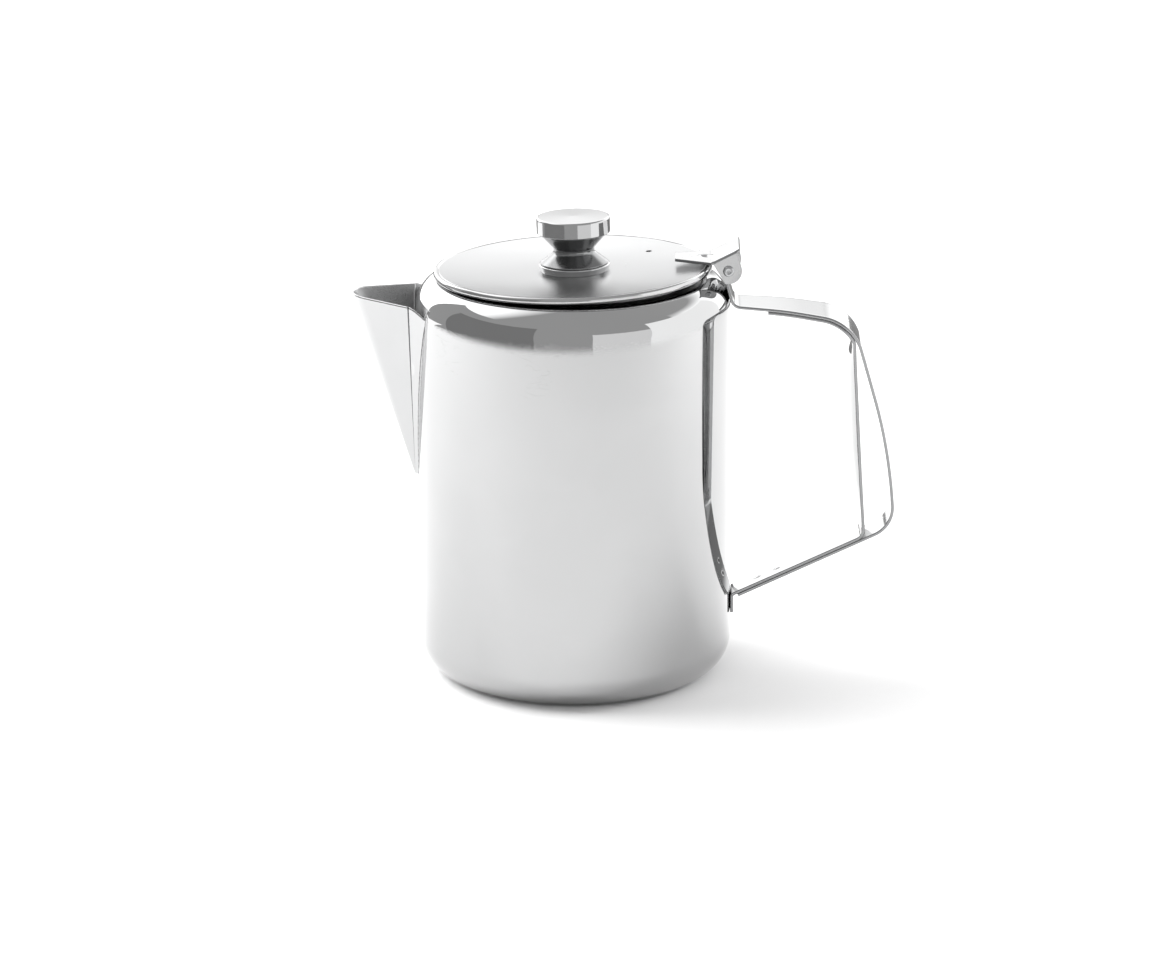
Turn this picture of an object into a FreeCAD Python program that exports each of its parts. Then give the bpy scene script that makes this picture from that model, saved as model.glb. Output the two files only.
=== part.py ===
"""A stainless steel teapot of the catering kind, about 1.5 litres.

The origin is the centre of the base, on the table. +Z is up, +X points to the handle and the
spout points along -X. The pot is the same on both sides of the XZ plane. Lengths are in
millimetres. Every physical piece is its own solid and its own STEP file.
"""
import FreeCAD, Part

import math
import os

from FreeCAD import Vector

# ---------------------------------------------------------------- driving dimensions
# Body: one deep-drawn shell.
BODY_RADIUS = 60.0
BODY_WALL = 0.9
BASE_CORNER_RADIUS = 13.0
SHOULDER_TOP = 156.1
SHOULDER_RADIUS = 11.9
COLLAR_RADIUS = 45.6
COLLAR_BOTTOM = 149.5
COLLAR_ROLL_RADIUS = 2.2

# Strainer: a field of holes through the wall behind the spout.
HOLE_RADIUS = 1.5
HOLE_PITCH = 6.0
HOLE_TOP = 135.0
HOLE_ROWS = 8

# Spout: one formed sheet with a round nose that narrows to a point at the foot. It is welded to
# the wall along two flared edges. All its sections are the same shape, scaled about the foot.
SPOUT_NOSE_X = -84.5
SPOUT_RIM_Z = 149.6
SPOUT_RIM_DROP = 0.08
SPOUT_FOOT_Z = 76.5
SPOUT_NOSE_RADIUS = 11.6
SPOUT_FLANK_ANGLE = 30.0
SPOUT_SHEET = 0.9
FLARE_X = -61.5
FLARE_ANGLE = 42.0
FLARE_REACH = 16.0
SPOUT_HOLLOW_FOOT_Z = 86.0

# Lid: dished cover with a hem, on a locating ring.
LID_RADIUS = 52.9
LID_SHEET = 0.8
LID_HEM_Z = 157.3
LID_HEM_HEIGHT = 2.0
LID_HEM_DEPTH = 2.6
LID_LAND_RADIUS = 15.0
LID_LAND_Z = 157.6
LID_TILT = 1.23
VENT_RADIUS = 1.15
VENT_X = 28.7
VENT_Y = 24.4
RING_RADIUS = 43.6
RING_SHEET = 0.8
RING_BOTTOM = 150.6

# Knob: pressed cap over a waisted body, on a foot ring, held by one screw from below.
KNOB_X = 0.7
KNOB_FOOT_HEIGHT = 2.6
KNOB_FOOT_BOTTOM_RADIUS = 13.1
KNOB_FOOT_TOP_RADIUS = 13.7
KNOB_FLARE_RADIUS = 12.8
KNOB_WAIST_RADIUS = 7.6
KNOB_WAIST_Z = 165.4
KNOB_CAP_RADIUS = 13.95
KNOB_CAP_HEIGHT = 6.1
KNOB_CAP_SHEET = 0.9
KNOB_TOP_Z = 178.4
SCREW_RADIUS = 2.0
SCREW_LENGTH = 12.0
SCREW_HEAD_RADIUS = 4.0
SCREW_HEAD_HEIGHT = 2.4
WASHER_RADIUS = 6.0
WASHER_THICKNESS = 0.8

# Hinge: the pin lies along Y in the curl at the top of the handle.
PIN_X = 59.0
PIN_Z = 159.3
PIN_RADIUS = 1.3
PIN_CLEARANCE = 0.08
PIN_HEAD_RADIUS = 2.1
PIN_HEAD_HEIGHT = 0.9
LEAF_SHEET = 1.2
LEAF_WIDTH = 21.3
LEAF_FRONT_WIDTH = 10.0
LEAF_FRONT = (38.8, 161.7)
LEAF_BEND = (52.4, 161.4)
LEAF_REAR = (63.4, 166.9)
EAR_SHEET = 1.1
EAR_RADIUS = 5.1
EAR_FRONT_ANGLE = -104.0
EAR_REAR_X = 62.2
WELD_DIMPLE_X = 50.4
WELD_DIMPLE_RADIUS = 1.9
WELD_DIMPLE_SPHERE = 3.2

# Handle: two straps of the same sheet.
STRAP = 1.2
ROOT_HALF_WIDTH = 9.3
CORNER_HALF_WIDTH = 12.4
BEND_HALF_WIDTH = 7.7
FOOT_HALF_WIDTH = 6.3
OUTER_ROOT = (60.95, 144.9)
OUTER_BROW = (81.0, 143.45)
OUTER_CORNER = (106.2, 139.5)
OUTER_GRIP = (120.3, 89.3)
OUTER_BEND = (122.8, 57.7)
OUTER_FOOT = (63.0, 29.35)
OUTER_CORNER_RADIUS = 18.0
OUTER_BEND_RADIUS = 12.0
OUTER_ROOT_RADIUS = 4.0
GRIP_RADIUS = 210.0
BROW_RADIUS = 150.0
INNER_START_X = 74.0
INNER_CORNER_X = 101.7
INNER_TURN = (106.65, 131.6)
INNER_BEND_X = 111.25
INNER_TAB_BOTTOM = 22.4
GRIP_BULGE = 2.35
# How much of the bulge the inner strap has at each height of its grip.
BULGE_STATIONS = (
    (129.5, 0.01),
    (126.0, 0.65),
    (118.0, 0.93),
    (103.0, 1.0),
    (88.0, 0.97),
    (75.0, 0.72),
    (66.0, 0.32),
    (60.0, 0.01),
)

FULL_TURN = 360.0
FAR = 300.0
PARTS_FOLDER = "parts"


# ---------------------------------------------------------------- outline helpers
def side_point(pair):
    """A point of the side view, given as (x, z)."""
    return Vector(pair[0], 0.0, pair[1])


def rounded_edges(points, radii):
    """Straight runs through the points, each inner corner rounded to its radius."""
    edges = []
    start = points[0]
    for corner, following, radius in zip(points[1:-1], points[2:], radii):
        back = (start - corner).normalize()
        onward = (following - corner).normalize()
        if radius == 0.0:
            edges.append(Part.LineSegment(start, corner).toShape())
            start = corner
            continue
        half_turn = back.getAngle(onward) / 2.0
        reach = radius / math.tan(half_turn)
        first = corner + back * reach
        last = corner + onward * reach
        middle_way = (back + onward).normalize()
        depth = radius / math.sin(half_turn) - radius
        middle = corner + middle_way * depth
        if start.distanceToPoint(first) > 1e-6:
            edges.append(Part.LineSegment(start, first).toShape())
        edges.append(Part.Arc(first, middle, last).toShape())
        start = last
    edges.append(Part.LineSegment(start, points[-1]).toShape())
    return edges


def closed_face(points):
    """A flat face with straight edges through the points."""
    return Part.Face(Part.makePolygon(points + points[:1]))


def revolved(face):
    """The solid that a face in the XZ plane sweeps in one turn about Z."""
    return face.revolve(Vector(0, 0, 0), Vector(0, 0, 1), FULL_TURN)


def disc(radius, bottom, top, x=0.0, y=0.0):
    """An upright cylinder between two heights."""
    return Part.makeCylinder(radius, top - bottom, Vector(x, y, bottom))


def tube(outer, inner, bottom, top):
    """An upright ring between two heights."""
    return disc(outer, bottom, top).cut(disc(inner, bottom - 1.0, top + 1.0))


def sheet_face(edges, thickness):
    """The section of a sheet: a path widened to one side. A negative thickness is the right-hand side."""
    return Part.Wire(edges).makeOffset2D(thickness, 0, True, True, False)


def tilted(shape):
    """A piece of the lid, turned to the slight tilt at which the lid rests, high at the hinge."""
    turned = shape.copy()
    turned.rotate(Vector(0, 0, LID_HEM_Z), Vector(0, 1, 0), -LID_TILT)
    return turned


# ---------------------------------------------------------------- body


def seated(shape):
    """A piece of the knob, moved to the knob's own axis and tilted with the lid."""
    placed = shape.copy()
    placed.translate(Vector(KNOB_X, 0, 0))
    return tilted(placed)


def body_outline():
    """The outer side of the drawn shell, from the middle of the base up to the end of its collar."""
    points = [
        side_point((0.0, 0.0)),
        side_point((BODY_RADIUS, 0.0)),
        side_point((BODY_RADIUS, SHOULDER_TOP)),
        side_point((COLLAR_RADIUS, SHOULDER_TOP)),
        side_point((COLLAR_RADIUS, COLLAR_BOTTOM)),
    ]
    return rounded_edges(points, [BASE_CORNER_RADIUS, SHOULDER_RADIUS, COLLAR_ROLL_RADIUS])


def body_envelope():
    """Everything inside the outer side of the body, taken as solid. It trims what is welded on."""
    edges = body_outline()
    end = edges[-1].Vertexes[-1].Point
    edges.append(Part.LineSegment(end, side_point((0.0, COLLAR_BOTTOM))).toShape())
    edges.append(Part.LineSegment(side_point((0.0, COLLAR_BOTTOM)), side_point((0.0, 0.0))).toShape())
    return revolved(Part.Face(Part.Wire(edges)))


def spout_scale(height):
    """Size of the spout's section at a height, against its section at the rim."""
    return (height - SPOUT_FOOT_Z) / (SPOUT_RIM_Z - SPOUT_FOOT_Z)


def bend_half_width():
    """Half width of the spout at its bend line, on the section at the rim."""
    angle = math.radians(SPOUT_FLANK_ANGLE)
    apex = SPOUT_NOSE_X - SPOUT_NOSE_RADIUS * (1.0 / math.sin(angle) - 1.0)
    return (FLARE_X - apex) * math.tan(angle)


def strainer_holes():
    """Radial drills, in staggered rows that narrow downwards as the spout does."""
    drills = []
    for row in range(HOLE_ROWS):
        height = HOLE_TOP - row * HOLE_PITCH
        room = bend_half_width() * spout_scale(height) - HOLE_PITCH / 2.0
        offset = HOLE_PITCH / 2.0 if row % 2 else 0.0
        count = int((room - offset) // HOLE_PITCH) + 1
        places = [offset + HOLE_PITCH * step for step in range(count) if offset <= room]
        for y in sorted({side * place for place in places for side in (-1.0, 1.0)}):
            angle = math.asin(y / BODY_RADIUS)
            outward = Vector(-math.cos(angle), math.sin(angle), 0.0)
            start = outward * (BODY_RADIUS - 5.0) + Vector(0, 0, height)
            drills.append(Part.makeCylinder(HOLE_RADIUS, 10.0, start, outward))
    return drills


def make_body_shell():
    shell = revolved(sheet_face(body_outline(), BODY_WALL))
    return shell.cut(strainer_holes())


# ---------------------------------------------------------------- spout
def spout_section(height, inset):
    """A level section of the spout as a closed wire. The inset moves its outline inwards."""
    scale = spout_scale(height)
    flank = math.radians(SPOUT_FLANK_ANGLE)
    flare = math.radians(FLARE_ANGLE)
    radius = SPOUT_NOSE_RADIUS * scale - inset
    centre_x = FLARE_X + (SPOUT_NOSE_X - FLARE_X + SPOUT_NOSE_RADIUS) * scale
    touch_x = centre_x - radius * math.sin(flank)
    touch_y = radius * math.cos(flank)
    bend_y = bend_half_width() * scale - inset / math.cos(flank)
    end_x = FLARE_X + FLARE_REACH
    end_y = bend_y + FLARE_REACH * math.tan(flare)
    nose = Vector(centre_x - radius, 0, height)
    near = [Vector(x, -y, height) for x, y in ((touch_x, touch_y), (FLARE_X, bend_y), (end_x, end_y))]
    far = [Vector(point.x, -point.y, height) for point in near]
    edges = [Part.Arc(near[0], nose, far[0]).toShape()]
    corners = far + near[::-1]
    for start, end in zip(corners[:-1], corners[1:]):
        edges.append(Part.LineSegment(start, end).toShape())
    return Part.Wire(edges)


def below_rim():
    """The space under the top edge of the spout, seen from the side."""
    front_x = SPOUT_NOSE_X - 5.0
    slope = SPOUT_RIM_DROP
    points = [
        side_point((front_x, 0.0)),
        side_point((front_x, SPOUT_RIM_Z - slope * (front_x - SPOUT_NOSE_X))),
        side_point((-60.0, SPOUT_RIM_Z - slope * (-60.0 - SPOUT_NOSE_X))),
        side_point((-53.0, 142.8)),
        side_point((-40.0, 142.8)),
        side_point((-40.0, 0.0)),
    ]
    edges = rounded_edges(points, [0.0, 5.0, 3.0, 0.0])
    edges.append(Part.LineSegment(points[-1], points[0]).toShape())
    face = Part.Face(Part.Wire(edges))
    face.translate(Vector(0, -FAR / 2.0, 0))
    return face.extrude(Vector(0, FAR, 0))


def make_spout():
    top = SPOUT_RIM_Z + 3.0
    outer = Part.makeLoft([spout_section(top, 0.0), spout_section(SPOUT_FOOT_Z + 0.5, 0.0)], True, True)
    hollow = Part.makeLoft(
        [spout_section(top, SPOUT_SHEET), spout_section(SPOUT_HOLLOW_FOOT_Z, SPOUT_SHEET)], True, True)
    return outer.cut([hollow, body_envelope()]).common(below_rim()).removeSplitter()


# ---------------------------------------------------------------- handle
def knuckle_radius():
    """Inner radius of the curl that turns on the pin."""
    return PIN_RADIUS + PIN_CLEARANCE


def tangent_foot(point, radius, side):
    """Where the line from a point, as (x, z), touches a circle about the pin. The side is 1 or -1."""
    across = point[0] - PIN_X
    up = point[1] - PIN_Z
    distance = math.hypot(across, up)
    angle = math.atan2(up, across) + side * math.acos(radius / distance)
    return (PIN_X + radius * math.cos(angle), PIN_Z + radius * math.sin(angle))


def outer_strap_edges():
    """Middle line of the outer strap: curl, root, top run, grip, lower bend and lower run."""
    radius = knuckle_radius() + STRAP / 2.0
    touch = tangent_foot(OUTER_ROOT, radius, -1.0)
    curl_end = math.radians(-75.0)
    end = Vector(PIN_X + radius * math.cos(curl_end), 0, PIN_Z + radius * math.sin(curl_end))
    middle_angle = math.radians(60.0)
    middle = Vector(PIN_X + radius * math.cos(middle_angle), 0, PIN_Z + radius * math.sin(middle_angle))
    curl = Part.Arc(end, middle, side_point(touch)).toShape()
    corners = [touch, OUTER_ROOT, OUTER_BROW, OUTER_CORNER, OUTER_GRIP, OUTER_BEND, OUTER_FOOT]
    radii = [OUTER_ROOT_RADIUS, BROW_RADIUS, OUTER_CORNER_RADIUS, GRIP_RADIUS, OUTER_BEND_RADIUS]
    return [curl] + rounded_edges([side_point(corner) for corner in corners], radii)


def strap_solid(edges):
    """A strap from its middle line, as wide as the widest place of the handle."""
    right_side = Part.Wire(edges).makeOffset2D(-STRAP / 2.0, 0, False, True, False)
    face = right_side.makeOffset2D(STRAP, 0, True, True, False)
    face.translate(Vector(0, -CORNER_HALF_WIDTH - 1.0, 0))
    return face.extrude(Vector(0, 2.0 * CORNER_HALF_WIDTH + 2.0, 0))


def mirrored_outline(half_outline, make_point):
    """A face from one half of its outline, as (distance, half width), mirrored on Y."""
    near = [make_point(distance, -width) for distance, width in half_outline]
    far = [make_point(distance, width) for distance, width in reversed(half_outline)]
    return closed_face(near + far)


def strap_taper():
    """What is left of the full width: it widens to the top corner, then narrows to the foot."""
    wide = CORNER_HALF_WIDTH
    plan = mirrored_outline(
        [(40.0, ROOT_HALF_WIDTH), (63.0, ROOT_HALF_WIDTH), (103.0, wide), (140.0, wide)],
        lambda distance, y: Vector(distance, y, 0.0),
    )
    front = mirrored_outline(
        [(0.0, FOOT_HALF_WIDTH), (29.0, FOOT_HALF_WIDTH), (58.0, BEND_HALF_WIDTH), (135.0, wide),
         (200.0, wide)],
        lambda distance, y: Vector(0.0, y, distance),
    )
    return plan.extrude(Vector(0, 0, FAR)).common(front.extrude(Vector(FAR, 0, 0)))


def half_width_at(height):
    """Half width of the straps on the grip at a height."""
    share = (height - 58.0) / (135.0 - 58.0)
    return BEND_HALF_WIDTH + share * (CORNER_HALF_WIDTH - BEND_HALF_WIDTH)


def make_handle_outer_strap():
    return strap_solid(outer_strap_edges()).common(strap_taper()).removeSplitter()


def beside_run(first, second, x, inward):
    """The point at x of the line through two corners of the outer strap, moved inwards square to it."""
    slope = (second[1] - first[1]) / (second[0] - first[0])
    return (x, first[1] + (x - first[0]) * slope + inward * math.hypot(1.0, slope))


def inner_strap_line():
    """Corners of the middle line of the inner strap. It lies against the outer one at both ends."""
    tab_x = BODY_RADIUS + STRAP / 2.0
    return [
        beside_run(OUTER_ROOT, OUTER_BROW, INNER_START_X, -STRAP),
        beside_run(OUTER_BROW, OUTER_CORNER, OUTER_BROW[0], -STRAP),
        beside_run(OUTER_BROW, OUTER_CORNER, INNER_CORNER_X, -STRAP),
        INNER_TURN,
        beside_run(OUTER_BEND, OUTER_FOOT, INNER_BEND_X, STRAP),
        beside_run(OUTER_BEND, OUTER_FOOT, tab_x, STRAP),
        (tab_x, INNER_TAB_BOTTOM),
    ]


def bulged_section(height, x, bulge):
    """A level section of the inner grip, bowed towards the body by the bulge."""
    half = half_width_at(height)
    corners = []
    for offset in (-STRAP / 2.0, STRAP / 2.0):
        corners.append(Vector(x + offset, -half, height))
        corners.append(Vector(x + offset - bulge, 0.0, height))
        corners.append(Vector(x + offset, half, height))
    inner = Part.Arc(corners[0], corners[1], corners[2]).toShape()
    outer = Part.Arc(corners[5], corners[4], corners[3]).toShape()
    first_side = Part.LineSegment(corners[2], corners[5]).toShape()
    second_side = Part.LineSegment(corners[3], corners[0]).toShape()
    return Part.Wire([inner, first_side, outer, second_side])


def make_handle_inner_strap():
    corners = inner_strap_line()
    radii = [BROW_RADIUS - STRAP, OUTER_CORNER_RADIUS - STRAP, 3.0, 4.0, 1.5]
    flat = strap_solid(rounded_edges([side_point(corner) for corner in corners], radii))
    flat = flat.common(strap_taper())
    top = BULGE_STATIONS[0][0]
    bottom = BULGE_STATIONS[-1][0]
    turn = corners[3]
    bend = corners[4]
    sections = []
    for height, share in BULGE_STATIONS:
        x = turn[0] + (turn[1] - height) / (turn[1] - bend[1]) * (bend[0] - turn[0])
        sections.append(bulged_section(height, x, GRIP_BULGE * share))
    grip = Part.makeLoft(sections, True, False)
    gap = Part.makeBox(FAR, FAR, top - bottom, Vector(90.0, -FAR / 2.0, bottom))
    return flat.cut(gap).fuse(grip).removeSplitter()


# ---------------------------------------------------------------- lid
def lid_outline():
    """Top of the lid from its middle out, round the hem and back in underneath."""
    top = LID_HEM_Z + LID_HEM_HEIGHT
    half = LID_HEM_HEIGHT / 2.0
    rim = LID_RADIUS - half
    land = side_point((LID_LAND_RADIUS, LID_LAND_Z))
    rise = top - LID_LAND_Z
    run = rim - LID_LAND_RADIUS
    dish_radius = (run * run + rise * rise) / (2.0 * rise)
    half_run = run / 2.0
    sag = dish_radius - math.sqrt(dish_radius * dish_radius - half_run * half_run)
    dish_middle = side_point((LID_LAND_RADIUS + half_run, LID_LAND_Z + sag))
    return [
        Part.LineSegment(side_point((0.0, LID_LAND_Z)), land).toShape(),
        Part.Arc(land, dish_middle, side_point((rim, top))).toShape(),
        Part.Arc(side_point((rim, top)), side_point((LID_RADIUS, top - half)),
                 side_point((rim, LID_HEM_Z))).toShape(),
        Part.LineSegment(side_point((rim, LID_HEM_Z)),
                         side_point((LID_RADIUS - LID_HEM_DEPTH, LID_HEM_Z))).toShape(),
    ]


def lid_underside(radius):
    """Height of the under face of the dished cover at a radius, before the tilt."""
    rise = LID_HEM_Z + LID_HEM_HEIGHT - LID_LAND_Z
    run = LID_RADIUS - LID_HEM_HEIGHT / 2.0 - LID_LAND_RADIUS
    dish_radius = (run * run + rise * rise) / (2.0 * rise)
    beyond = radius - LID_LAND_RADIUS
    inner = dish_radius + LID_SHEET
    return LID_LAND_Z + dish_radius - math.sqrt(inner * inner - beyond * beyond)


def lid_cover_level():
    """The cover before it is tilted."""
    cover = revolved(sheet_face(lid_outline(), -LID_SHEET))
    vent = disc(VENT_RADIUS, LID_LAND_Z - 5.0, LID_LAND_Z + 5.0, VENT_X, VENT_Y)
    screw_hole = disc(SCREW_RADIUS + 0.1, LID_LAND_Z - 5.0, LID_LAND_Z + 5.0)
    screw_hole.translate(Vector(KNOB_X, 0, 0))
    return cover.cut([vent, screw_hole])


def make_lid_cover():
    return tilted(lid_cover_level())


def make_lid_locating_ring():
    inner = RING_RADIUS - RING_SHEET
    section = closed_face([
        side_point((inner, RING_BOTTOM)),
        side_point((RING_RADIUS, RING_BOTTOM)),
        side_point((RING_RADIUS, lid_underside(RING_RADIUS))),
        side_point((inner, lid_underside(inner))),
    ])
    return tilted(revolved(section).cut(lid_cover_level()))


# ---------------------------------------------------------------- knob
def knob_levels():
    """Heights of the knob: top of the foot ring, and bottom of the band of the cap."""
    return LID_LAND_Z + KNOB_FOOT_HEIGHT, KNOB_TOP_Z - KNOB_CAP_HEIGHT


def make_knob_foot_ring():
    foot_top, _ = knob_levels()
    cone = Part.makeCone(KNOB_FOOT_BOTTOM_RADIUS, KNOB_FOOT_TOP_RADIUS, KNOB_FOOT_HEIGHT,
                         Vector(0, 0, LID_LAND_Z))
    bore = disc(SCREW_RADIUS + 0.1, LID_LAND_Z - 1.0, foot_top + 1.0)
    return seated(cone.cut(bore))


def make_knob_body():
    foot_top, band_bottom = knob_levels()
    inside = KNOB_CAP_RADIUS - KNOB_CAP_SHEET
    shoulder = KNOB_CAP_RADIUS - 1.3
    roof = KNOB_TOP_Z - KNOB_CAP_SHEET
    points = [
        side_point((0.0, foot_top)),
        side_point((KNOB_FLARE_RADIUS, foot_top)),
        side_point((KNOB_FLARE_RADIUS, foot_top + 0.5)),
        side_point((KNOB_WAIST_RADIUS, KNOB_WAIST_Z)),
        side_point((shoulder - 0.2, band_bottom - 0.7)),
        side_point((inside, band_bottom + 0.2)),
        side_point((inside, roof)),
        side_point((0.0, roof)),
    ]
    edges = rounded_edges(points, [0.0, 0.0, 1.2, 0.0, 0.0, 0.0])
    edges.append(Part.LineSegment(points[-1], points[0]).toShape())
    thread = disc(SCREW_RADIUS, foot_top - 1.0, foot_top + SCREW_LENGTH - 3.0)
    return seated(revolved(Part.Face(Part.Wire(edges))).cut(thread))


def make_knob_cap():
    _, band_bottom = knob_levels()
    inside = KNOB_CAP_RADIUS - KNOB_CAP_SHEET
    points = [
        side_point((0.0, KNOB_TOP_Z - KNOB_CAP_SHEET)),
        side_point((inside, KNOB_TOP_Z - KNOB_CAP_SHEET)),
        side_point((inside, band_bottom + 0.2)),
        side_point((inside - 0.4, band_bottom - 0.2)),
        side_point((KNOB_CAP_RADIUS - 0.6, band_bottom - 0.5)),
        side_point((KNOB_CAP_RADIUS, band_bottom)),
        side_point((KNOB_CAP_RADIUS, KNOB_TOP_Z)),
        side_point((0.0, KNOB_TOP_Z)),
    ]
    edges = rounded_edges(points, [0.0, 0.0, 0.0, 0.0, 0.0, 0.6])
    edges.append(Part.LineSegment(points[-1], points[0]).toShape())
    cap = seated(revolved(Part.Face(Part.Wire(edges))))
    return cap.cut(make_knob_body())


def make_knob_washer():
    top = LID_LAND_Z - LID_SHEET
    return seated(tube(WASHER_RADIUS, SCREW_RADIUS + 0.1, top - WASHER_THICKNESS, top))


def make_knob_screw():
    head_top = LID_LAND_Z - LID_SHEET - WASHER_THICKNESS
    head = disc(SCREW_HEAD_RADIUS, head_top - SCREW_HEAD_HEIGHT, head_top)
    head = head.makeFillet(0.8, [edge for edge in head.Edges if edge.BoundBox.ZMax < head_top - 1.0])
    shank = disc(SCREW_RADIUS, head_top, head_top + SCREW_LENGTH)
    slot = Part.makeBox(2.0 * SCREW_HEAD_RADIUS, 1.0, 1.0,
                        Vector(-SCREW_HEAD_RADIUS, -0.5, head_top - SCREW_HEAD_HEIGHT))
    return seated(head.fuse(shank).cut(slot).removeSplitter())


# ---------------------------------------------------------------- hinge
def ear(side):
    """One ear of the leaf: a rounded tab that hangs down past the end of the pin."""
    slope = (LEAF_REAR[1] - LEAF_BEND[1]) / (LEAF_REAR[0] - LEAF_BEND[0])
    front = (LEAF_BEND[0] + 0.8, LEAF_BEND[1] + 0.6)
    rear = (EAR_REAR_X, LEAF_BEND[1] + (EAR_REAR_X - LEAF_BEND[0]) * slope + 0.3)
    low = math.radians(EAR_FRONT_ANGLE)
    middle = math.radians(EAR_FRONT_ANGLE / 2.0)
    round_start, round_middle = (
        side_point((PIN_X + EAR_RADIUS * math.cos(angle), PIN_Z + EAR_RADIUS * math.sin(angle)))
        for angle in (low, middle)
    )
    round_end = side_point(tangent_foot(rear, EAR_RADIUS, -1.0))
    outline = Part.Face(Part.Wire([
        Part.LineSegment(side_point(front), round_start).toShape(),
        Part.Arc(round_start, round_middle, round_end).toShape(),
        Part.LineSegment(round_end, side_point(rear)).toShape(),
        Part.LineSegment(side_point(rear), side_point(front)).toShape(),
    ]))
    start = LEAF_WIDTH / 2.0 - EAR_SHEET if side > 0 else -LEAF_WIDTH / 2.0
    outline.translate(Vector(0, start, 0))
    return outline.extrude(Vector(0, EAR_SHEET, 0))


def make_hinge_leaf():
    edges = rounded_edges([side_point(LEAF_FRONT), side_point(LEAF_BEND), side_point(LEAF_REAR)], [2.0])
    section = sheet_face(edges, LEAF_SHEET)
    section.translate(Vector(0, -LEAF_WIDTH / 2.0, 0))
    plan = mirrored_outline(
        [(LEAF_FRONT[0] - 1.0, LEAF_FRONT_WIDTH / 2.0), (LEAF_FRONT[0], LEAF_FRONT_WIDTH / 2.0),
         (LEAF_BEND[0], LEAF_WIDTH / 2.0), (LEAF_REAR[0] + 5.0, LEAF_WIDTH / 2.0)],
        lambda distance, y: Vector(distance, y, 0.0),
    )
    wings = section.extrude(Vector(0, LEAF_WIDTH, 0)).common(plan.extrude(Vector(0, 0, FAR)))
    leaf = wings.fuse([ear(-1.0), ear(1.0)])
    slope = (LEAF_BEND[1] - LEAF_FRONT[1]) / (LEAF_BEND[0] - LEAF_FRONT[0])
    seat = LEAF_BEND[1] + (WELD_DIMPLE_X - LEAF_BEND[0]) * slope
    boss = disc(WELD_DIMPLE_RADIUS, seat - 3.0, seat + 0.4, WELD_DIMPLE_X).cut(make_lid_cover())
    boss = max(boss.Solids, key=lambda solid: solid.BoundBox.ZMax)
    press = Part.makeSphere(WELD_DIMPLE_SPHERE, Vector(WELD_DIMPLE_X, 0, seat + LEAF_SHEET + 2.4))
    bore = Part.makeCylinder(PIN_RADIUS, LEAF_WIDTH + 2.0, Vector(PIN_X, -LEAF_WIDTH / 2.0 - 1.0, PIN_Z),
                             Vector(0, 1, 0))
    return leaf.fuse(boss).cut([press, bore]).removeSplitter()


def make_hinge_pin():
    half = LEAF_WIDTH / 2.0
    shank = Part.makeCylinder(PIN_RADIUS, LEAF_WIDTH, Vector(PIN_X, -half, PIN_Z), Vector(0, 1, 0))
    heads = []
    for side in (-1.0, 1.0):
        head = Part.makeCylinder(PIN_HEAD_RADIUS, PIN_HEAD_HEIGHT, Vector(PIN_X, side * half, PIN_Z),
                                 Vector(0, side, 0))
        far_edges = [edge for edge in head.Edges if abs(edge.CenterOfMass.y) > half + PIN_HEAD_HEIGHT - 0.1]
        heads.append(head.makeFillet(0.6, far_edges))
    return shank.fuse(heads).removeSplitter()


MAKERS = {
    "body_shell": make_body_shell,
    "spout": make_spout,
    "handle_outer_strap": make_handle_outer_strap,
    "handle_inner_strap": make_handle_inner_strap,
    "lid_cover": make_lid_cover,
    "lid_locating_ring": make_lid_locating_ring,
    "knob_foot_ring": make_knob_foot_ring,
    "knob_body": make_knob_body,
    "knob_cap": make_knob_cap,
    "knob_screw": make_knob_screw,
    "knob_washer": make_knob_washer,
    "hinge_leaf": make_hinge_leaf,
    "hinge_pin": make_hinge_pin,
}

os.makedirs(PARTS_FOLDER, exist_ok=True)
for name, make in MAKERS.items():
    shape = make()
    solids = shape.Solids
    shape = solids[0] if len(solids) == 1 else Part.makeCompound(solids)
    shape.exportStep(os.path.join(PARTS_FOLDER, name + ".step"))
    box = shape.BoundBox
    extents = [(box.XMin, box.XMax), (box.YMin, box.YMax), (box.ZMin, box.ZMax)]
    spans = ", ".join(f"{low:.2f} to {high:.2f}" for low, high in extents)
    print(f"{name:20s} solids {len(solids)} valid {shape.isValid()} volume {shape.Volume:.1f} box {spans}")
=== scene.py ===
"""Looks of the stainless steel teapot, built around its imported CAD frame.

Every length in the modelling code is in millimetres, in the frame of the CAD model, and each mesh
is scaled to metres as it is made. +X points to the handle, the spout points along -X.
"""
import math

import bmesh
import bpy
from mathutils import Matrix, Vector


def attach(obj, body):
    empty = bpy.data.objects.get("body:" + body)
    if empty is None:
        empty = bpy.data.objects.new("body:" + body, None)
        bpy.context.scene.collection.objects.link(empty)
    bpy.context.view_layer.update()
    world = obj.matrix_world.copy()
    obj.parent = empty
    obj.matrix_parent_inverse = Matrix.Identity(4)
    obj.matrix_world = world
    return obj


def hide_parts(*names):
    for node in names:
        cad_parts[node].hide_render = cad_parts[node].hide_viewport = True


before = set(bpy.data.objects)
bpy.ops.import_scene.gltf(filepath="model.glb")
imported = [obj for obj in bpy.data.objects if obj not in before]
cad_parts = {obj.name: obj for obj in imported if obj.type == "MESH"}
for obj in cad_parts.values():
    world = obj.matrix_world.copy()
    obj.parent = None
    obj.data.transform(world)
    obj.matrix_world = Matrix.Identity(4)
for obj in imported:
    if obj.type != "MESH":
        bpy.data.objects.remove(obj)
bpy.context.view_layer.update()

MM = 0.001

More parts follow.
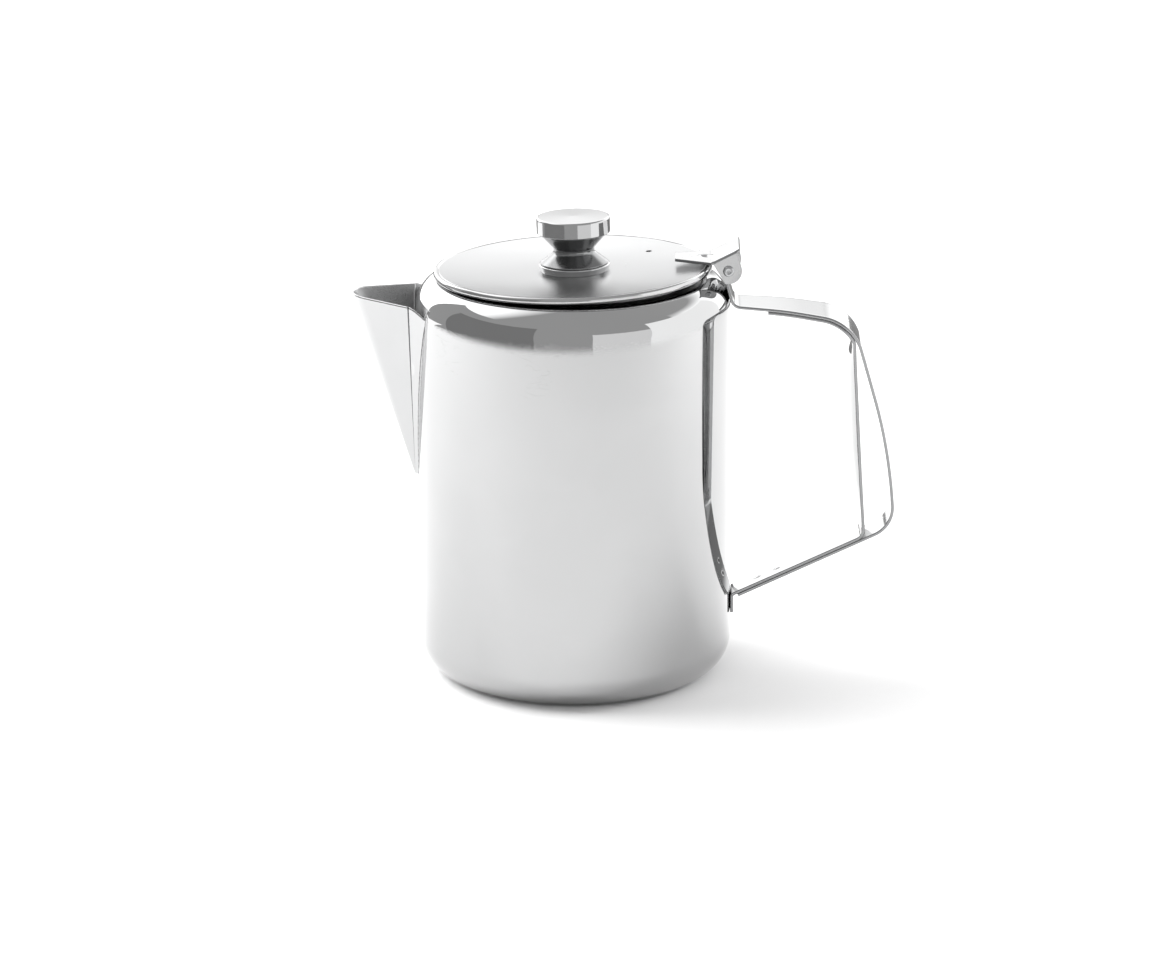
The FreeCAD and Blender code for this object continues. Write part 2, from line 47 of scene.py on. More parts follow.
# Body
BODY_RADIUS = 60.0
BODY_WALL = 0.9
BASE_CORNER_RADIUS = 13.0
SHOULDER_TOP = 156.1
SHOULDER_RADIUS = 11.9
COLLAR_RADIUS = 45.6
COLLAR_BOTTOM = 149.5
COLLAR_ROLL_RADIUS = 2.2
COLLAR_LIP_HEIGHT = 0.4
HOLE_RADIUS = 1.5
HOLE_PITCH = 6.0
HOLE_TOP = 135.0
HOLE_ROWS = 8
BODY_SEGMENTS = 256

# Spout
NOSE_X = -84.5
RIM_Z = 149.6
RIM_DROP = 0.08
FOOT_Z = 76.5
NOSE_RADIUS = 11.6
FLANK_ANGLE = math.radians(30.0)
SPOUT_SHEET = 0.9
RIM_ROUND = 0.4
WELD_DEPTH = 0.25
WELD_RADIUS = 0.4
FLARE_X = -61.5
FLARE_ANGLE = math.radians(42.0)
FLARE_BEND_REACH = 1.2
CREASE_DEPTH = 0.25
FOOT_TIP_SCALE = 0.006
HOLLOW_SCALE = 0.13
NOSE_STEPS = 16
FLANK_STEPS = 16
BEND_STEPS = 6
FLARE_STEPS = 5
FOOT_ROWS = 12
SPOUT_ROWS = 60

# Lid and knob, before the lid's tilt
LID_RADIUS = 52.9
LID_SHEET = 0.8
HEM_Z = 157.3
HEM_HEIGHT = 2.0
HEM_DEPTH = 2.6
HEM_LIP = 0.5
HEM_POLISHED_WIDTH = 2.2
GROOVE_RADIUS = 50.9
GROOVE_HALF_WIDTH = 0.35
GROOVE_DEPTH = 0.3
LAND_RADIUS = 15.0
LAND_Z = 157.6
LID_TILT = math.radians(1.23)
VENT = (28.7, 24.4)
VENT_RADIUS = 1.15
RING_RADIUS = 43.6
RING_SHEET = 0.8
RING_BOTTOM = 150.6
LID_SEGMENTS = 256
KNOB_X = 0.7
KNOB_FOOT_HEIGHT = 2.6
KNOB_CAP_RADIUS = 13.95
KNOB_CAP_HEIGHT = 6.1
KNOB_TOP_Z = 178.4
KNOB_FLARE_RADIUS = 12.8
KNOB_WAIST = (6.9, 165.4)
KNOB_WAIST_BEND = 1.8

# Hinge
PIN = (59.0, 159.3)
PIN_RADIUS = 1.3
PIN_HEAD_RADIUS = 2.1
PIN_HEAD_HEIGHT = 0.9
CURL_RADIUS = 1.98
LEAF_SHEET = 1.2
LEAF_HALF_WIDTH = 10.65
LEAF_TONGUE_HALF_WIDTH = 5.0
LEAF_FRONT = (38.8, 161.7)
LEAF_BEND = (52.4, 161.4)
LEAF_REAR = (63.4, 166.9)
EAR_SHEET = 1.1
EAR_RADIUS = 5.1
EAR_FRONT_ANGLE = math.radians(-104.0)
EAR_REAR_X = 62.2
DIMPLE_X = 50.4
DIMPLE_RADIUS = 2.3

# Handle
STRAP = 1.2
OUTER_CORNERS = [(60.95, 144.9), (81.0, 143.45), (106.2, 139.5), (120.3, 89.3), (122.8, 57.7),
                 (63.0, 29.35)]
OUTER_RADII = [4.0, 150.0, 18.0, 210.0, 12.0]
INNER_START_X = 74.0
INNER_CORNER_X = 101.7
INNER_TURN = (106.65, 131.6)
INNER_BEND_X = 111.25
TAB_BOTTOM = 22.4
GRIP_BULGE = 2.35
BULGE_STATIONS = [(129.5, 0.0), (126.0, 0.65), (118.0, 0.93), (103.0, 1.0), (88.0, 0.97), (75.0, 0.72),
                  (66.0, 0.32), (60.0, 0.0)]
SPOT_WELDS_X = (71.0, 78.5)
SPOT_WELD_RADIUS = 1.7
BURN_RADIUS = 0.9
LOWER_RUN_TOP = 60.0
STRAP_SPACING = 0.45

# Studio, in metres: tones are linear brightness, directions are in the frame of the CAD model
PAPER_TONE = 2.3
GROUND_TONE = 1.6
ROOM_TONE = 0.60
# Share of the paper's tone against the height part of a direction, for directions behind the pot
SKY = [(0.0, 0.08), (0.13, 0.12), (0.26, 0.82), (0.33, 1.0), (0.50, 1.0), (0.64, 0.27), (1.0, 0.26)]
# Parts of a direction between which the studio changes: front to back, low to high and middle to side
BACK_FADE = (-0.25, 0.20)
LOW_FADE = (0.20, 0.30)
SIDE_FADE = (0.13, 0.23)
SIDE_LIFT = 0.85
# Soft boxes, as (direction, inner and outer angle in degrees, brightness)
SOFT_BOXES = [((-0.62, 0.40, 0.66), 20.0, 37.0, 1.9)]
TABLE_RADIUS = 0.593
TABLE_SIDE_BEARING = 115.0
CARD_ARC_RADIUS = 1.0
CARD_EYE_HEIGHT = 0.145
CARD_STEP = 1.5
CARD_SPACING = 0.004
# Plain upright cards, as (bearing from, to, elevation from, to, tone). Bearings turn from -Y to +X.
STUDIO_CARDS = [
    (-125.0, 85.0, -24.0, 44.0, 0.60),
    (-100.0, -26.0, -24.0, 32.0, 0.36),
    (15.0, 60.0, -24.0, 13.0, 1.3),
    (58.0, 130.0, -24.0, 30.0, 1.8),
]
BACKDROP_START = 0.6
BACKDROP_REACH = 6.0
BACKDROP_HALF_WIDTH = 4.0
BACKDROP_HEIGHT = 0.001
BACKDROP_TONE = 0.32
LIGHT_AIM = (0.0, 0.0, 0.08)

# Camera, with its distance, target and heights in metres
CAMERA_AZIMUTH = math.radians(1.5)
CAMERA_ELEVATION = math.radians(16.7)
CAMERA_ROLL = math.radians(0.477)
CAMERA_DISTANCE = 1.5
CAMERA_LENS = 119.84
TARGET_RIGHT = 0.0036
TARGET_HEIGHT = 0.07409


# ---------------------------------------------------------------- outlines
def rounded(points, radii, steps=12):
    """A 2-D line through the points with its inner corners rounded."""
    path = [Vector(points[0])]
    for before, corner, after, radius in zip(points, points[1:], points[2:], radii):
        corner = Vector(corner)
        if radius == 0.0:
            path.append(corner)
            continue
        back = (Vector(before) - corner).normalized()
        onward = (Vector(after) - corner).normalized()
        half = back.angle(onward) / 2.0
        centre = corner + (back + onward).normalized() * (radius / math.sin(half))
        first = corner + back * (radius / math.tan(half)) - centre
        last = corner + onward * (radius / math.tan(half)) - centre
        sweep = math.atan2(first.x * last.y - first.y * last.x, first.dot(last))
        for step in range(steps + 1):
            turn = Matrix.Rotation(sweep * step / steps, 2)
            path.append(centre + turn @ first)
    path.append(Vector(points[-1]))
    return path


def resampled(path, spacing):
    """The same line with points at even distances."""
    lengths = [0.0]
    for start, end in zip(path, path[1:]):
        lengths.append(lengths[-1] + (end - start).length)
    count = max(2, round(lengths[-1] / spacing))
    result = []
    segment = 0
    for step in range(count + 1):
        distance = lengths[-1] * step / count
        while segment < len(path) - 2 and lengths[segment + 1] < distance:
            segment += 1
        share = (distance - lengths[segment]) / max(lengths[segment + 1] - lengths[segment], 1e-9)
        result.append(path[segment].lerp(path[segment + 1], min(share, 1.0)))
    return result


def supported(path, longest=2.5):
    """The same line with its long runs divided, and close points beside each corner and bend."""
    result = [path[0]]
    for start, end in zip(path, path[1:]):
        length = (end - start).length
        if length > longest:
            close = 0.15 / length
            count = math.ceil(length / longest)
            shares = [close] + [step / count for step in range(1, count)] + [1.0 - close]
            result += [start.lerp(end, share) for share in shares]
        result.append(end)
    return result


def between(stations, value):
    """Straight-line interpolation in a list of (place, amount), held at its two ends."""
    ordered = sorted(stations)
    if value <= ordered[0][0]:
        return ordered[0][1]
    for (place, amount), (next_place, next_amount) in zip(ordered, ordered[1:]):
        if value <= next_place:
            return amount + (next_amount - amount) * (value - place) / (next_place - place)
    return ordered[-1][1]


# ---------------------------------------------------------------- mesh making
def new_mesh(name, points, faces, materials, face_slots=None, sharp=35.0):
    """A smooth-shaded mesh object from points in millimetres."""
    mesh = bpy.data.meshes.new(name)
    mesh.from_pydata([Vector(point) * MM for point in points], [], faces)
    for material in materials:
        mesh.materials.append(material)
    if face_slots:
        mesh.polygons.foreach_set("material_index", face_slots)
    made = bmesh.new()
    made.from_mesh(mesh)
    bmesh.ops.remove_doubles(made, verts=made.verts, dist=1e-7)
    bmesh.ops.recalc_face_normals(made, faces=made.faces)
    made.to_mesh(mesh)
    made.free()
    mesh.shade_smooth()
    mesh.set_sharp_from_angle(angle=math.radians(sharp))
    thing = bpy.data.objects.new(name, mesh)
    bpy.context.scene.collection.objects.link(thing)
    return thing


def register(thing, body, nodes=()):
    """Ties a piece to its CAD body and the CAD nodes that it stands for."""
    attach(thing, body)
    if nodes:
        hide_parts(*nodes)


def turned(outline, segments=192, closed=True):
    """Points and faces of a 2-D outline, as (radius, height), turned about Z."""
    points = []
    rings = []
    for radius, height in outline:
        if radius < 1e-6:
            rings.append([len(points)] * segments)
            points.append((0.0, 0.0, height))
            continue
        ring = []
        for step in range(segments):
            angle = 2.0 * math.pi * step / segments
            ring.append(len(points))
            points.append((radius * math.cos(angle), radius * math.sin(angle), height))
        rings.append(ring)
    faces = []
    pairs = list(zip(rings, rings[1:]))
    if closed:
        pairs.append((rings[-1], rings[0]))
    for lower, upper in pairs:
        for step in range(segments):
            following = (step + 1) % segments
            corners = [lower[step], lower[following], upper[following], upper[step]]
            unique = list(dict.fromkeys(corners))
            if len(unique) > 2:
                faces.append(unique)
    return points, faces


def lid_place():
    """The turn that puts a level lid piece at its tilt."""
    pivot = Matrix.Translation((0.0, 0.0, HEM_Z))
    return pivot @ Matrix.Rotation(-LID_TILT, 4, "Y") @ pivot.inverted()


def moved(points, matrix):
    return [matrix @ Vector(point) for point in points]


def tube_along(path, radii, sides=10):
    """Points and faces of a closed round bead along a 3-D path."""
    points = []
    faces = []
    for index, centre in enumerate(path):
        before = path[max(index - 1, 0)]
        after = path[min(index + 1, len(path) - 1)]
        along = (after - before).normalized()
        side = along.orthogonal().normalized()
        if index:
            side = (last_side - along * last_side.dot(along)).normalized()
        last_side = side
        other = along.cross(side)
        for step in range(sides):
            angle = 2.0 * math.pi * step / sides
            points.append(centre + (side * math.cos(angle) + other * math.sin(angle)) * radii[index])
    for ring in range(len(path) - 1):
        for step in range(sides):
            following = (step + 1) % sides
            low = ring * sides
            high = low + sides
            faces.append([low + step, low + following, high + following, high + step])
    faces.append(list(range(sides)))
    faces.append(list(range(len(points) - sides, len(points))))
    return points, faces


def strip(line, half_width, thickness, across, edge_radius, offset):
    """A flat bar along a line of the XZ plane, with rounded edges: points, faces and material slots.

    half_width, edge_radius and offset are functions: of the place on the line, of the place and the
    side (+1 is left of travel), and of the place, the distance across and the side.
    """
    points = []
    ring_size = None
    for index, centre in enumerate(line):
        before = line[max(index - 1, 0)]
        after = line[min(index + 1, len(line) - 1)]
        along = (after - before).normalized()
        normal = Vector((-along.y, along.x))
        half = half_width(centre)
        ring = []
        for side in (1.0, -1.0):
            radius = edge_radius(centre, side)
            flat = half - radius
            for step in range(across + 1):
                ring.append((side * (flat - 2.0 * flat * step / across), side * thickness / 2.0, side))
            for step in range(1, 6):
                angle = math.pi / 2.0 * step / 6.0
                low = thickness / 2.0 - radius
                ring.append((-side * (flat + radius * math.sin(angle)),
                             side * (low + radius * math.cos(angle)), side))
            next_radius = edge_radius(centre, -side)
            for step in range(1, 6):
                angle = math.pi / 2.0 * step / 6.0
                low = thickness / 2.0 - next_radius
                ring.append((-side * (half - next_radius + next_radius * math.cos(angle)),
                             -side * (low + next_radius * math.sin(angle)), -side))
        ring_size = len(ring)
        for y, height, side in ring:
            shift = height + offset(centre, y, side)
            points.append((centre.x + normal.x * shift, y, centre.y + normal.y * shift))
    faces = []
    slots = []
    for station in range(len(line) - 1):
        low = station * ring_size
        high = low + ring_size
        for step in range(ring_size):
            following = (step + 1) % ring_size
            faces.append([low + step, low + following, high + following, high + step])
            slots.append(1 if step % (ring_size // 2) >= across + 2 else 0)
    faces.append(list(range(ring_size)))
    faces.append(list(range(len(points) - ring_size, len(points))))
    return points, faces, slots + [1, 1]


def shared_edge(radius):
    """An edge radius that is the same all along a strip."""
    return lambda centre, side: radius


# ---------------------------------------------------------------- materials
def node(tree, kind, inputs=None, **settings):
    """Adds a shader node. Each input is a plain value or the socket that feeds it."""
    made = tree.nodes.new("ShaderNode" + kind)
    for key, value in settings.items():
        setattr(made, key, value)
    for key, value in (inputs or {}).items():
        if isinstance(value, bpy.types.NodeSocket):
            tree.links.new(value, made.inputs[key])
        else:
            made.inputs[key].default_value = value
    return made


def math_node(tree, operation, first, second=0.0):
    return node(tree, "Math", {0: first, 1: second}, operation=operation).outputs[0]


def remapped(tree, value, low, high, new_low, new_high):
    ranged = node(tree, "MapRange", {"Value": value, "From Min": low, "From Max": high,
                                     "To Min": new_low, "To Max": new_high})
    return ranged.outputs["Result"]


def noise_of(tree, coordinates, stretch, scale, detail=4.0, distortion=0.0):
    """Noise on stretched coordinates. A large stretch makes the pattern fine along that axis."""
    mapped = node(tree, "Mapping", {"Vector": coordinates, "Scale": stretch})
    made = node(tree, "TexNoise", {"Vector": mapped.outputs[0], "Scale": scale, "Detail": detail,
                                   "Distortion": distortion})
    return made.outputs["Fac"]


def steel(name, colour, roughness, grain=(1.0, 1.0, 1.0), grain_amount=0.0, hairlines=0.5, smudges=0.4,
          waviness=0.2, anisotropy=0.0):
    """Stainless steel: grain from working, hairline scratches, smudges and faint unevenness."""
    material = bpy.data.materials.new(name)
    material.use_nodes = True
    tree = material.node_tree
    shader = tree.nodes["Principled BSDF"]
    place = node(tree, "TexCoord").outputs["Object"]
    smudge = noise_of(tree, place, (1.0, 1.0, 1.0), 38.0, 6.0, 0.6)
    fine = noise_of(tree, place, grain, 900.0, 3.0)
    field = noise_of(tree, place, (1.0, 1.0, 2.3), 60.0, 1.0, 2.0)
    distance = math_node(tree, "ABSOLUTE", math_node(tree, "SUBTRACT", field, 0.5))
    patch = noise_of(tree, place, (1.0, 1.0, 1.0), 55.0, 2.0)
    line = remapped(tree, distance, 0.0, 0.0022, 1.0, 0.0)
    line = math_node(tree, "MULTIPLY", line, remapped(tree, patch, 0.52, 0.62, 0.0, 1.0))
    wave = noise_of(tree, place, (1.0, 1.0, 1.0), 14.0, 1.0)
    edge = node(tree, "NewGeometry").outputs["Pointiness"]
    wear = remapped(tree, edge, 0.53, 0.60, 0.0, 1.0)

    varied = remapped(tree, smudge, 0.35, 0.7,
                      roughness * (1.0 - 0.4 * smudges), roughness * (1.0 + smudges))
    grained = remapped(tree, fine, 0.35, 0.65, -0.5 * grain_amount, 0.5 * grain_amount)
    total = math_node(tree, "ADD", varied, grained)
    total = math_node(tree, "ADD", total, math_node(tree, "MULTIPLY", line, 0.10 * hairlines))
    total = math_node(tree, "ADD", total, math_node(tree, "MULTIPLY", wear, 0.04))
    tree.links.new(total, shader.inputs["Roughness"])

    tint = node(tree, "MixRGB", {"Fac": remapped(tree, smudge, 0.3, 0.7, 0.0, 1.0),
                                 "Color1": (*[part * 0.97 for part in colour], 1.0),
                                 "Color2": (*colour, 1.0)})
    bright = [min(part * 1.12, 0.95) for part in colour]
    worn = node(tree, "MixRGB", {"Fac": math_node(tree, "MULTIPLY", wear, 0.6),
                                 "Color1": tint.outputs[0], "Color2": (*bright, 1.0)})
    tree.links.new(worn.outputs[0], shader.inputs["Base Color"])

    wavy = node(tree, "Bump", {"Height": wave, "Strength": waviness, "Distance": 0.0004})
    scratched = node(tree, "Bump", {"Height": line, "Strength": 0.12 * hairlines, "Distance": -0.00004,
                                    "Normal": wavy.outputs[0]})
    lined = node(tree, "Bump", {"Height": fine, "Strength": min(1.0, 2.0 * grain_amount + 0.02),
                                "Distance": 0.00003, "Normal": scratched.outputs[0]})
    tree.links.new(lined.outputs[0], shader.inputs["Normal"])
    shader.inputs["Metallic"].default_value = 1.0
    if anisotropy:
        shader.inputs["Anisotropic"].default_value = anisotropy
        tangent = node(tree, "Tangent", direction_type="RADIAL", axis="Z")
        tree.links.new(tangent.outputs[0], shader.inputs["Tangent"])
    return material


def floor_material():
    material = bpy.data.materials.new("paper_floor")
    material.use_nodes = True
    tree = material.node_tree
    shader = tree.nodes["Principled BSDF"]
    place = node(tree, "TexCoord").outputs["Object"]
    fibre = noise_of(tree, place, (1.0, 1.0, 1.0), 220.0, 5.0)
    tone = node(tree, "MixRGB", {"Fac": fibre, "Color1": (0.93, 0.93, 0.93, 1.0),
                                 "Color2": (0.95, 0.95, 0.95, 1.0)})
    tree.links.new(tone.outputs[0], shader.inputs["Base Color"])
    bump = node(tree, "Bump", {"Height": fibre, "Strength": 0.05, "Distance": 0.0002})
    tree.links.new(bump.outputs[0], shader.inputs["Normal"])
    shader.inputs["Roughness"].default_value = 0.9
    shader.inputs["Specular IOR Level"].default_value = 0.0
    return material


POLISHED = (0.455, 0.456, 0.458)
polished_body = steel("polished_body", POLISHED, 0.012, (1.0, 1.0, 9.0), 0.003, 0.5, 0.5, 0.04)
polished_spout = steel("polished_spout", (0.51, 0.512, 0.515), 0.05, (1.0, 1.0, 6.0), 0.01, 0.6, 0.5, 0.15)
satin_inside = steel("satin_inside", (0.62, 0.622, 0.625), 0.28, (1.0, 1.0, 14.0), 0.10, 0.4, 0.4, 0.25)
polished_handle = steel("polished_handle", (0.44, 0.442, 0.444), 0.09, (6.0, 1.0, 1.0), 0.015,
                        0.8, 0.6, 0.12)
cut_edge = steel("cut_edge", (0.29, 0.292, 0.295), 0.16, (1.0, 1.0, 1.0), 0.10, 0.6, 0.5, 0.10)
polished_knob = steel("polished_knob", (0.44, 0.442, 0.444), 0.06, (1.0, 1.0, 12.0), 0.01, 0.5, 0.5, 0.03)
satin_knob = steel("satin_knob", (0.22, 0.222, 0.224), 0.17, (1.0, 1.0, 12.0), 0.03, 0.5, 0.4, 0.03)
satin_lid = steel("satin_lid", (0.45, 0.452, 0.455), 0.29, (1.0, 1.0, 1.0), 0.010, 0.4, 0.10, 0.01, 0.2)
polished_hem = steel("polished_hem", POLISHED, 0.08, (1.0, 1.0, 8.0), 0.02, 0.4, 0.4, 0.10)
polished_hinge = steel("polished_hinge", (0.56, 0.562, 0.565), 0.16, (8.0, 1.0, 1.0), 0.03, 0.8, 0.6, 0.12)
# Dark steel for the real weld bead and the handle's spot-weld burns. It is also painted shade along the
# spout's two creases.
weld_and_painted_crease_shade = steel("weld_and_painted_crease_shade", (0.12, 0.12, 0.122), 0.25, (1.0, 1.0, 1.0), 0.08, 0.2, 0.5, 0.60)
turned_steel = steel("turned_steel", (0.42, 0.425, 0.43), 0.16, (1.0, 1.0, 20.0), 0.08, 0.4, 0.4, 0.10)


# ---------------------------------------------------------------- body
def body_radius_at(height):
    """Outer radius of the body at a height, above its base corner."""
    turn = SHOULDER_TOP - SHOULDER_RADIUS
    if height <= turn:
        return BODY_RADIUS
    rise = min(height - turn, SHOULDER_RADIUS)
    return BODY_RADIUS - SHOULDER_RADIUS + math.sqrt(SHOULDER_RADIUS ** 2 - rise ** 2)


def spout_scale(height):
    return (height - FOOT_Z) / (RIM_Z - FOOT_Z)


def bend_half_width():
    apex = NOSE_X - NOSE_RADIUS * (1.0 / math.sin(FLANK_ANGLE) - 1.0)
    return (FLARE_X - apex) * math.tan(FLANK_ANGLE)


def strainer_drills():
    """Short round bars at the places of the strainer's holes, as one mesh."""
    points = []
    faces = []
    bar = [(0.0, 0.0), (HOLE_RADIUS, 0.0), (HOLE_RADIUS, 10.0), (0.0, 10.0)]
    bar_points, bar_faces = turned(bar, 32, False)
    for row in range(HOLE_ROWS):
        height = HOLE_TOP - row * HOLE_PITCH
        room = bend_half_width() * spout_scale(height) - HOLE_PITCH / 2.0
        offset = HOLE_PITCH / 2.0 if row % 2 else 0.0
        count = int((room - offset) // HOLE_PITCH) + 1
        places = [offset + HOLE_PITCH * step for step in range(count) if offset <= room]
        for y in sorted({side * place for place in places for side in (-1.0, 1.0)}):
            angle = math.asin(y / BODY_RADIUS)
            outward = Vector((-math.cos(angle), math.sin(angle), 0.0))
            start = outward * (BODY_RADIUS - 5.0) + Vector((0.0, 0.0, height))
            place = Matrix.Translation(start) @ outward.to_track_quat("Z", "Y").to_matrix().to_4x4()
            first = len(points)
            points += moved(bar_points, place)
            faces += [[first + corner for corner in face] for face in bar_faces]
    return new_mesh("strainer_drills", points, faces, [])


def cut_with(thing, cutter):
    """Takes the cutter out of the piece for good."""
    modifier = thing.modifiers.new("cut", "BOOLEAN")
    modifier.operation = "DIFFERENCE"
    modifier.solver = "EXACT"
    modifier.object = cutter
    graph = bpy.context.evaluated_depsgraph_get()
    cut = bpy.data.meshes.new_from_object(thing.evaluated_get(graph))
    thing.modifiers.clear()
    thing.data = cut
    bpy.data.objects.remove(cutter)


def build_body():
    collar_lip = COLLAR_BOTTOM + COLLAR_LIP_HEIGHT
    outer = rounded([(0.0, 0.0), (BODY_RADIUS, 0.0), (BODY_RADIUS, SHOULDER_TOP),
                     (COLLAR_RADIUS, SHOULDER_TOP), (COLLAR_RADIUS, collar_lip)],
                    [BASE_CORNER_RADIUS, SHOULDER_RADIUS, COLLAR_ROLL_RADIUS], 40)
    outer = supported(outer)
    wall = BODY_WALL
    inner = rounded([(0.0, wall), (BODY_RADIUS - wall, wall), (BODY_RADIUS - wall, SHOULDER_TOP - wall),
                     (COLLAR_RADIUS + wall, SHOULDER_TOP - wall), (COLLAR_RADIUS + wall, collar_lip)],
                    [BASE_CORNER_RADIUS - wall, SHOULDER_RADIUS - wall, COLLAR_ROLL_RADIUS - wall], 24)
    inner = supported(inner, 6.0)
    middle = COLLAR_RADIUS + wall / 2.0
    lip = []
    for step in range(1, 6):
        angle = math.pi * step / 6.0
        lip.append(Vector((middle - wall / 2.0 * math.cos(angle),
                           collar_lip - COLLAR_LIP_HEIGHT * math.sin(angle))))
    points, faces = turned(outer + lip + inner[::-1], BODY_SEGMENTS, False)
    outside = (len(outer) + 2) * BODY_SEGMENTS
    slots = [0] * outside + [1] * (len(faces) - outside)
    body = new_mesh("body_shell_formed", points, faces, [polished_body, satin_inside], slots, 40.0)
    cut_with(body, strainer_drills())
    body.data.set_sharp_from_angle(angle=math.radians(40.0))
    register(body, "pot", ["body_shell"])


# ---------------------------------------------------------------- spout
def rim_line():
    """The top edge of the spout in the side view, as (x, height)."""
    ends = [(x, RIM_Z - RIM_DROP * (x - NOSE_X)) for x in (-90.0, -60.0)]
    line = rounded(ends + [(-53.0, 142.8), (-40.0, 142.8)], [5.0, 3.0])
    return [(point.x, point.y) for point in line]


RIM_LINE = rim_line()


def spout_half_section(scale, inset):
    """Half of a level section of the spout, as (x, y) from the nose round to the wall."""
    height = FOOT_Z + (RIM_Z - FOOT_Z) * scale
    radius = max(NOSE_RADIUS * scale - inset, 0.03)
    centre_x = FLARE_X + (NOSE_X - FLARE_X + NOSE_RADIUS) * scale
    nose_turn = math.pi / 2.0 - FLANK_ANGLE
    path = []
    for step in range(NOSE_STEPS + 1):
        angle = nose_turn * step / NOSE_STEPS
        path.append(Vector((centre_x - radius * math.cos(angle), radius * math.sin(angle))))
    bend_y = bend_half_width() * scale - inset / math.cos(FLANK_ANGLE)
    bend = Vector((FLARE_X, max(bend_y, path[-1].y + 0.02)))
    flare = Vector((math.cos(FLARE_ANGLE), math.sin(FLARE_ANGLE)))
    wall = body_radius_at(height) - WELD_DEPTH
    toward = bend.dot(flare)
    reach = -toward - math.sqrt(max(toward * toward - (bend.length_squared - wall * wall), 0.0))
    end = bend + flare * reach
    touch = path[-1]
    soft = min(FLARE_BEND_REACH * scale, 0.3 * reach)
    before = bend + (touch - bend).normalized() * soft
    after = bend + flare * soft
    inward = Vector((math.sin(FLANK_ANGLE), -math.cos(FLANK_ANGLE)))
    for step in range(1, FLANK_STEPS + 1):
        path.append(touch.lerp(before, step / FLANK_STEPS))
    for step in range(1, BEND_STEPS + 1):
        share = step / BEND_STEPS
        crease = CREASE_DEPTH * scale * inward if step == BEND_STEPS // 2 else Vector((0.0, 0.0))
        path.append(before.lerp(bend, share).lerp(bend.lerp(after, share), share) + crease)
    for step in range(1, FLARE_STEPS + 1):
        path.append(after.lerp(end, step / FLARE_STEPS))
    return path, height


def rim_scale(column, inset):
    """The scale at which one column of the spout reaches the height where its rim starts to round."""
    low = 0.5
    high = 1.15
    for _ in range(40):
        middle = (low + high) / 2.0
        path, height = spout_half_section(middle, inset)
        if height < between(RIM_LINE, path[column].x) - RIM_ROUND:
            low = middle
        else:
            high = middle
    return low


def spout_column(column, inset, scales):
    """Points of one column at fractions of the way up from the top of the solid foot."""
    points = []
    for scale in scales:
        path, height = spout_half_section(scale, inset)
        points.append(Vector((path[column].x, path[column].y, height)))
    return points


def mirrored(columns):
    """Columns from the near wall round the nose to the far wall, from those of the far half."""
    near = [[Vector((point.x, -point.y, point.z)) for point in column] for column in columns[:0:-1]]
    return near + columns


def build_spout():
    count = NOSE_STEPS + FLANK_STEPS + BEND_STEPS + FLARE_STEPS + 1
    half = []
    for column in range(count):
        top_outer = rim_scale(column, 0.0)
        top_inner = rim_scale(column, SPOUT_SHEET)
        foot_height = HOLLOW_SCALE - FOOT_TIP_SCALE
        foot = [FOOT_TIP_SCALE + foot_height * step / FOOT_ROWS for step in range(FOOT_ROWS)]
        rise = [step / SPOUT_ROWS for step in range(SPOUT_ROWS + 1)]
        outer_rise = [HOLLOW_SCALE + (top_outer - HOLLOW_SCALE) * part for part in rise]
        inner_rise = [HOLLOW_SCALE + (top_inner - HOLLOW_SCALE) * part for part in rise]
        outer = spout_column(column, 0.0, foot + outer_rise)
        inner = spout_column(column, SPOUT_SHEET, inner_rise)
        middle = (outer[-1] + inner[-1]) / 2.0
        rim = []
        for step in range(1, 6):
            angle = math.pi * step / 6.0
            lift = Vector((0.0, 0.0, RIM_ROUND * math.sin(angle)))
            rim.append(middle + (outer[-1] - middle) * math.cos(angle) + lift)
        half.append(outer + rim + inner[::-1])
    columns = mirrored(half)
    rows = len(columns[0])
    points = [point for column in columns for point in column]
    faces = []
    slots = []
    inside_from = FOOT_ROWS + SPOUT_ROWS + 3
    to_crease = NOSE_STEPS + FLANK_STEPS + BEND_STEPS // 2
    middle_column = len(half) - 1
    beside_creases = {middle_column + side * to_crease - before for side in (-1, 1) for before in (0, 1)}
    for column in range(len(columns) - 1):
        for row in range(rows - 1):
            here = column * rows + row
            faces.append([here, here + 1, here + rows + 1, here + rows])
            # The faces on each side of a crease take the dark weld steel: a painted shade line in the fold,
            # beside the crease's real groove.
            on_crease = column in beside_creases
            outside_slot = 2 if on_crease else 0
            slots.append(1 if row >= inside_from else outside_slot)
    last = (len(columns) - 1) * rows
    faces.append([column * rows for column in range(len(columns))])
    faces.append([column * rows + rows - 1 for column in range(len(columns))])
    for row in range(FOOT_ROWS):
        faces.append([row, row + 1, last + row + 1, last + row])
    faces.append([FOOT_ROWS, rows - 1, last + rows - 1, last + FOOT_ROWS])
    for start in (0, last):
        low = start + FOOT_ROWS
        high = start + rows - 1
        while high - low > 1:
            faces.append([low, low + 1, high - 1, high] if high - low > 2 else [low, low + 1, high])
            low += 1
            high -= 1
    slots += [1] * (len(faces) - len(slots))
    spout = new_mesh("spout_formed", points, faces, [polished_spout, satin_inside, weld_and_painted_crease_shade], slots, 50.0)
    register(spout, "pot", ["spout"])

    foot_and_side = FOOT_ROWS + SPOUT_ROWS
    near = [columns[0][row] for row in range(foot_and_side, -1, -1)]
    far = [columns[-1][row] for row in range(foot_and_side + 1)]
    tip = (near[-1] + far[0]) / 2.0 + Vector((-0.3, 0.0, -0.8))
    line = near + [tip] + far
    radii = []
    for index, point in enumerate(line):
        ends = min(index, len(line) - 1 - index)
        ripple = 0.05 * math.sin(point.z * 2.6) + 0.03 * math.sin(point.z * 1.1 + index)
        radii.append(max(0.15, (WELD_RADIUS + ripple) * min(1.0, 0.4 + ends / 6.0)))
    bead_points, bead_faces = tube_along(line, radii, 12)
    bead = new_mesh("spout_weld", bead_points, bead_faces, [weld_and_painted_crease_shade])
    register(bead, "pot")


